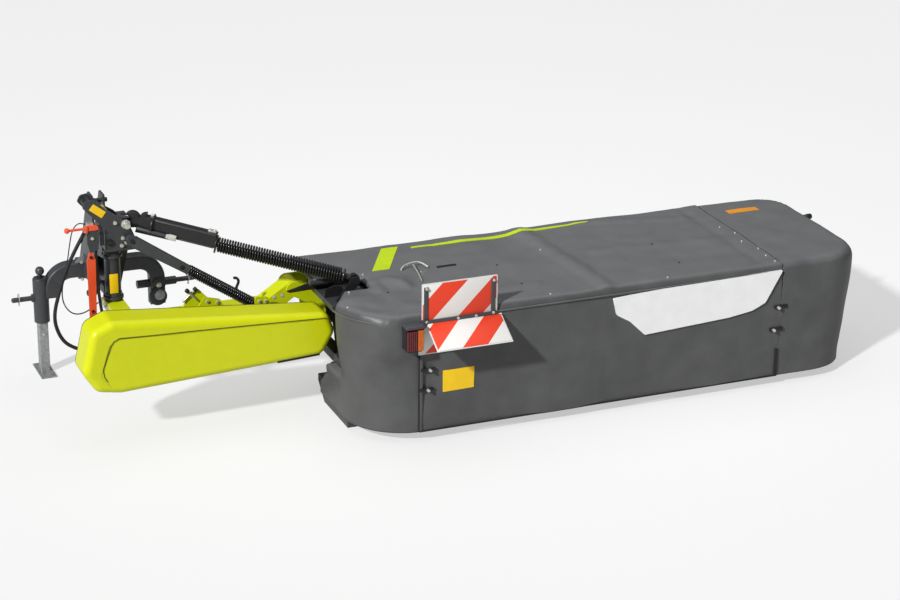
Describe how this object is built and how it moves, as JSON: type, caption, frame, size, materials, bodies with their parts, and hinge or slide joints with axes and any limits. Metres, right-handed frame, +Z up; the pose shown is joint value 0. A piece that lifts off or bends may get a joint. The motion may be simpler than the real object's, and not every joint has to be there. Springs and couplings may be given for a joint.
{
  "type": "mounted disc mower",
  "caption": "Rear mounted disc mower parked on its stand leg: three-point headstock, side boom with belt guard, relief strut and a cutterbar under grey safety covers",
  "frame": {"origin": "on the floor under the middle of the stand leg's foot plate", "axes": "+X runs out along the cutterbar, to the right seen from behind; +Y is the direction of travel; +Z is up"},
  "size_m": [4.493, 1.9276, 1.1957],
  "materials": {
    "cover_grey": "smooth coated cloth",
    "lime_paint": "gloss",
    "dark_paint": "satin",
    "black_paint": "satin",
    "red_paint": "gloss",
    "galvanised": "matt",
    "zinc": "satin",
    "spring_black": "gloss",
    "blade_steel": "worn",
    "lime_shell": "gloss",
    "board": "reflective stripes",
    "lamp": "clear lens",
    "rubber": "matt"
  },
  "bodies": {
    "headstock": {"headstock_arch": "dark_paint", "lower_link_pins": "zinc", "tower": "dark_paint", "kingpin_tube": "dark_paint", "top_link_pin": "zinc", "stand_sleeve": "dark_paint", "lever_arm": "dark_paint", "lock_lever": "red_paint", "lock_plate": "dark_paint", "lock_handle": "red_paint", "hose_blocks": "zinc", "return_hose": "rubber"},
    "stand": {"stand_leg": "galvanised"},
    "swing_frame": {"kingpin": "zinc", "swing_fork": "lime_paint", "mast_plates": "dark_paint", "mast_braces": "dark_paint"},
    "drive_shaft": {"input_shaft": "zinc"},
    "boom": {"boom_beam": "lime_paint", "boom_brackets": "lime_paint", "belt_cover": "lime_shell", "belt_back": "black_paint"},
    "upper_head": {"strut_knuckle": "black_paint"},
    "upper_barrel": {"channel_head": "black_paint", "upper_channel": "dark_paint"},
    "upper_slide": {"upper_rod": "black_paint", "upper_spring": "spring_black"},
    "lower_barrel": {"lower_tube": "dark_paint"},
    "lower_slide": {"lower_rod": "zinc", "lower_spring": "spring_black"},
    "mower": {"unit_bracket": "lime_paint", "bracket_beams": "lime_paint", "tongue_plates": "lime_paint", "cutterbar": "dark_paint", "skids": "black_paint", "inner_shoe": "dark_paint", "outer_shoe": "dark_paint", "main_tube": "dark_paint", "roof_bows": "dark_paint", "frame_posts": "dark_paint", "end_hinge": "dark_paint", "board_straps": "dark_paint", "board_flap": "board", "roof": "cover_grey", "rear_curtain": "cover_grey", "corner_curtain": "cover_grey", "warning_board": "board", "tail_lamp": "lamp"},
    "front_flap": {"flap_tube": "black_paint", "flap_bows": "black_paint", "front_cover": "cover_grey"},
    "end_flap": {"end_flap_frame": "black_paint", "end_cover": "cover_grey"},
    "cutter_1": {"disc_1": "blade_steel"},
    "cutter_2": {"disc_2": "blade_steel"},
    "cutter_3": {"disc_3": "blade_steel"},
    "cutter_4": {"disc_4": "blade_steel"},
    "cutter_5": {"disc_5": "blade_steel"},
    "cutter_6": {"disc_6": "blade_steel"}
  },
  "joints": [
    {"name": "stand_slide", "type": "slide", "parent": "headstock", "child": "stand", "axis": [0, 0, 1], "range_m": [0, 0.16]},
    {"name": "swing_back", "type": "hinge", "parent": "headstock", "child": "swing_frame", "pos_m": [0.275, -0.54, 0.7], "axis": [0, 0, 1], "range_deg": [-20, 0]},
    {"name": "boom_lift", "type": "hinge", "parent": "swing_frame", "child": "boom", "pos_m": [0.275, -0.69, 0.5], "axis": [0, -1, 0], "range_deg": [-4, 8]},
    {"name": "unit_fold", "type": "hinge", "parent": "boom", "child": "mower", "pos_m": [1.222, -0.69, 0.6], "axis": [0, -1, 0], "range_deg": [-8, 90]},
    {"name": "upper_swivel", "type": "hinge", "parent": "swing_frame", "child": "upper_head", "pos_m": [0.344, -0.54, 1.028], "axis": [0, 0, 1], "range_deg": [-9, 1]},
    {"name": "upper_tilt", "type": "hinge", "parent": "upper_head", "child": "upper_barrel", "pos_m": [0.344, -0.54, 1.028], "axis": [-0.4466, -0.8947, 0], "range_deg": [-4, 7.5]},
    {"name": "upper_stroke", "type": "slide", "parent": "upper_barrel", "child": "upper_slide", "axis": [0.8731, -0.4357, -0.2187], "range_m": [-0.335, 0.035], "deforming": ["upper_spring"]},
    {"name": "lower_tilt", "type": "hinge", "parent": "swing_frame", "child": "lower_barrel", "pos_m": [0.362, -0.632, 0.947], "axis": [0, -1, 0], "range_deg": [-4, 7]},
    {"name": "lower_stroke", "type": "slide", "parent": "lower_barrel", "child": "lower_slide", "axis": [0.8314, -0.1929, -0.5212], "range_m": [-0.062, 0.032], "deforming": ["lower_spring"]},
    {"name": "drive_spin", "type": "hinge", "parent": "swing_frame", "child": "drive_shaft", "pos_m": [0.275, -0.6, 0.5], "axis": [0, 1, 0], "continuous": true},
    {"name": "front_flap_hinge", "type": "hinge", "parent": "mower", "child": "front_flap", "pos_m": [2.49, -0.94, 0.7], "axis": [-1, 0, 0], "range_deg": [-80, 0]},
    {"name": "end_flap_hinge", "type": "hinge", "parent": "mower", "child": "end_flap", "pos_m": [3.746, -1.11, 0.722], "axis": [0, 1, 0], "range_deg": [-85, 0]},
    {"name": "disc_1_spin", "type": "hinge", "parent": "mower", "child": "cutter_1", "pos_m": [1.702, -1.12, 0.124], "axis": [0, 0, 1], "continuous": true},
    {"name": "disc_2_spin", "type": "hinge", "parent": "mower", "child": "cutter_2", "pos_m": [2.122, -1.12, 0.124], "axis": [0, 0, 1], "continuous": true},
    {"name": "disc_3_spin", "type": "hinge", "parent": "mower", "child": "cutter_3", "pos_m": [2.542, -1.12, 0.124], "axis": [0, 0, 1], "continuous": true},
    {"name": "disc_4_spin", "type": "hinge", "parent": "mower", "child": "cutter_4", "pos_m": [2.962, -1.12, 0.124], "axis": [0, 0, 1], "continuous": true},
    {"name": "disc_5_spin", "type": "hinge", "parent": "mower", "child": "cutter_5", "pos_m": [3.382, -1.12, 0.124], "axis": [0, 0, 1], "continuous": true},
    {"name": "disc_6_spin", "type": "hinge", "parent": "mower", "child": "cutter_6", "pos_m": [3.802, -1.12, 0.124], "axis": [0, 0, 1], "continuous": true}
  ],
  "couplings": [
    {"joint": "upper_swivel", "follows": "unit_fold", "ratio": -0.095},
    {"joint": "upper_tilt", "follows": "boom_lift", "ratio": 0.867},
    {"joint": "upper_stroke", "follows": "unit_fold", "m_per_rad": -0.2094},
    {"joint": "lower_tilt", "follows": "boom_lift", "ratio": 0.796},
    {"joint": "lower_stroke", "follows": "boom_lift", "m_per_rad": -0.417},
    {"joint": "drive_spin", "follows": "disc_1_spin", "ratio": 0.333},
    {"joint": "disc_2_spin", "follows": "disc_1_spin", "ratio": -1},
    {"joint": "disc_3_spin", "follows": "disc_1_spin", "ratio": 1},
    {"joint": "disc_4_spin", "follows": "disc_1_spin", "ratio": -1},
    {"joint": "disc_5_spin", "follows": "disc_1_spin", "ratio": 1},
    {"joint": "disc_6_spin", "follows": "disc_1_spin", "ratio": -1}
  ]
}
